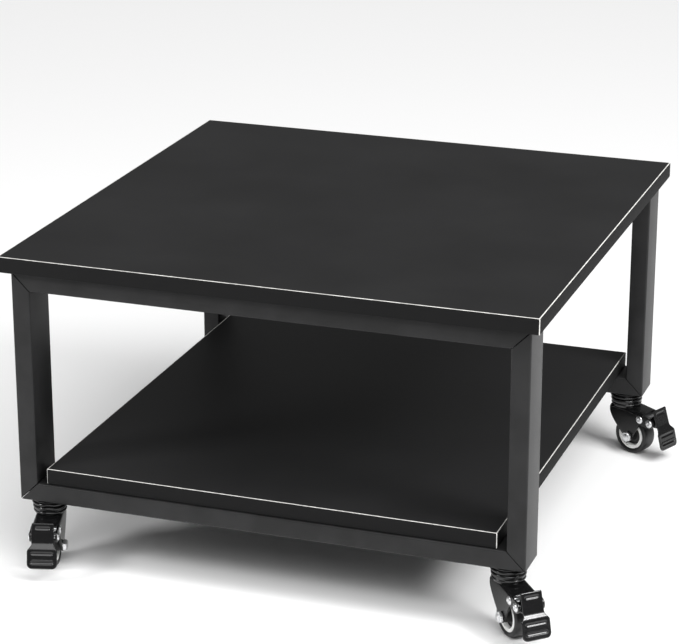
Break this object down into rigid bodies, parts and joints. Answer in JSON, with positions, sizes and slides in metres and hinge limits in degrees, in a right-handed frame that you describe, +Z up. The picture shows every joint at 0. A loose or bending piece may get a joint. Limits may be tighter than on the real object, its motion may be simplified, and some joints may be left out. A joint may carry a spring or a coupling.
{
  "type": "mobile printer stand",
  "caption": "Low square stand on braked swivel casters: a top board for a printer and an open shelf below, held between two rectangular tube frames.",
  "frame": {"origin": "on the floor under the middle of the boards", "axes": "+Z up, front towards -Y, +X to the right seen from the front"},
  "size_m": [0.556, 0.5612, 0.3068],
  "materials": {
    "board_laminate": "satin black laminate on particle board",
    "frame_coat": "satin black powder coat",
    "caster_black": "gloss black",
    "bright_zinc": "bright zinc plate",
    "tyre_black": "semi-gloss black",
    "rim_white": "off-white plastic"
  },
  "bodies": {
    "stand": {"top_board": "board_laminate", "lower_shelf": "board_laminate", "front_bottom_rail": "frame_coat", "front_top_rail": "frame_coat", "front_left_leg": "frame_coat", "front_right_leg": "frame_coat", "back_bottom_rail": "frame_coat", "back_top_rail": "frame_coat", "back_left_leg": "frame_coat", "back_right_leg": "frame_coat", "board_screw_front_left": "bright_zinc", "shelf_screw_front_left": "bright_zinc", "board_screw_front_right": "bright_zinc", "shelf_screw_front_right": "bright_zinc", "board_screw_back_left": "bright_zinc", "shelf_screw_back_left": "bright_zinc", "board_screw_back_right": "bright_zinc", "shelf_screw_back_right": "bright_zinc", "front_left_stem": "caster_black", "front_right_stem": "caster_black", "back_left_stem": "caster_black", "back_right_stem": "caster_black"},
    "front_left_swivel": {"front_left_fork": "caster_black", "front_left_axle_bolt": "bright_zinc", "front_left_axle_nut": "bright_zinc", "front_left_brake_strip": "bright_zinc", "front_left_brake_rivet": "bright_zinc", "front_left_pedal_pin": "bright_zinc"},
    "front_left_wheel": {"front_left_tyre": "tyre_black", "front_left_rim": "rim_white"},
    "front_left_brake": {"front_left_pedal": "caster_black"},
    "front_right_swivel": {"front_right_fork": "caster_black", "front_right_axle_bolt": "bright_zinc", "front_right_axle_nut": "bright_zinc", "front_right_brake_strip": "bright_zinc", "front_right_brake_rivet": "bright_zinc", "front_right_pedal_pin": "bright_zinc"},
    "front_right_wheel": {"front_right_tyre": "tyre_black", "front_right_rim": "rim_white"},
    "front_right_brake": {"front_right_pedal": "caster_black"},
    "back_left_swivel": {"back_left_fork": "caster_black", "back_left_axle_bolt": "bright_zinc", "back_left_axle_nut": "bright_zinc", "back_left_brake_strip": "bright_zinc", "back_left_brake_rivet": "bright_zinc", "back_left_pedal_pin": "bright_zinc"},
    "back_left_wheel": {"back_left_tyre": "tyre_black", "back_left_rim": "rim_white"},
    "back_left_brake": {"back_left_pedal": "caster_black"},
    "back_right_swivel": {"back_right_fork": "caster_black", "back_right_axle_bolt": "bright_zinc", "back_right_axle_nut": "bright_zinc", "back_right_brake_strip": "bright_zinc", "back_right_brake_rivet": "bright_zinc", "back_right_pedal_pin": "bright_zinc"},
    "back_right_wheel": {"back_right_tyre": "tyre_black", "back_right_rim": "rim_white"},
    "back_right_brake": {"back_right_pedal": "caster_black"}
  },
  "joints": [
    {"name": "front_left_swivel_turn", "type": "hinge", "parent": "stand", "child": "front_left_swivel", "pos_m": [-0.2245, -0.226, 0.0565], "axis": [0, 0, 1], "continuous": true},
    {"name": "front_left_wheel_spin", "type": "hinge", "parent": "front_left_swivel", "child": "front_left_wheel", "pos_m": [-0.221, -0.23821, 0.02], "axis": [0.9613, 0.2756, 0], "continuous": true},
    {"name": "front_left_brake_press", "type": "hinge", "parent": "front_left_swivel", "child": "front_left_brake", "pos_m": [-0.21369, -0.26368, 0.0406], "axis": [0.9613, 0.2756, 0], "range_deg": [0, 14]},
    {"name": "front_right_swivel_turn", "type": "hinge", "parent": "stand", "child": "front_right_swivel", "pos_m": [0.2245, -0.226, 0.0565], "axis": [0, 0, 1], "continuous": true},
    {"name": "front_right_wheel_spin", "type": "hinge", "parent": "front_right_swivel", "child": "front_right_wheel", "pos_m": [0.23316, -0.23529, 0.02], "axis": [0.7314, 0.682, 0], "continuous": true},
    {"name": "front_right_brake_press", "type": "hinge", "parent": "front_right_swivel", "child": "front_right_brake", "pos_m": [0.25123, -0.25467, 0.0406], "axis": [0.7314, 0.682, 0], "range_deg": [0, 14]},
    {"name": "back_left_swivel_turn", "type": "hinge", "parent": "stand", "child": "back_left_swivel", "pos_m": [-0.2245, 0.226, 0.0565], "axis": [0, 0, 1], "continuous": true},
    {"name": "back_left_wheel_spin", "type": "hinge", "parent": "back_left_swivel", "child": "back_left_wheel", "pos_m": [-0.23331, 0.23515, 0.02], "axis": [-0.7206, -0.6934, 0], "continuous": true},
    {"name": "back_left_brake_press", "type": "hinge", "parent": "back_left_swivel", "child": "back_left_brake", "pos_m": [-0.25168, 0.25425, 0.0406], "axis": [-0.7206, -0.6934, 0], "range_deg": [0, 14]},
    {"name": "back_right_swivel_turn", "type": "hinge", "parent": "stand", "child": "back_right_swivel", "pos_m": [0.2245, 0.226, 0.0565], "axis": [0, 0, 1], "continuous": true},
    {"name": "back_right_wheel_spin", "type": "hinge", "parent": "back_right_swivel", "child": "back_right_wheel", "pos_m": [0.2361, 0.22083, 0.02], "axis": [0.4067, 0.9135, 0], "continuous": true},
    {"name": "back_right_brake_press", "type": "hinge", "parent": "back_right_swivel", "child": "back_right_brake", "pos_m": [0.26031, 0.21006, 0.0406], "axis": [0.4067, 0.9135, 0], "range_deg": [0, 14]}
  ]
}
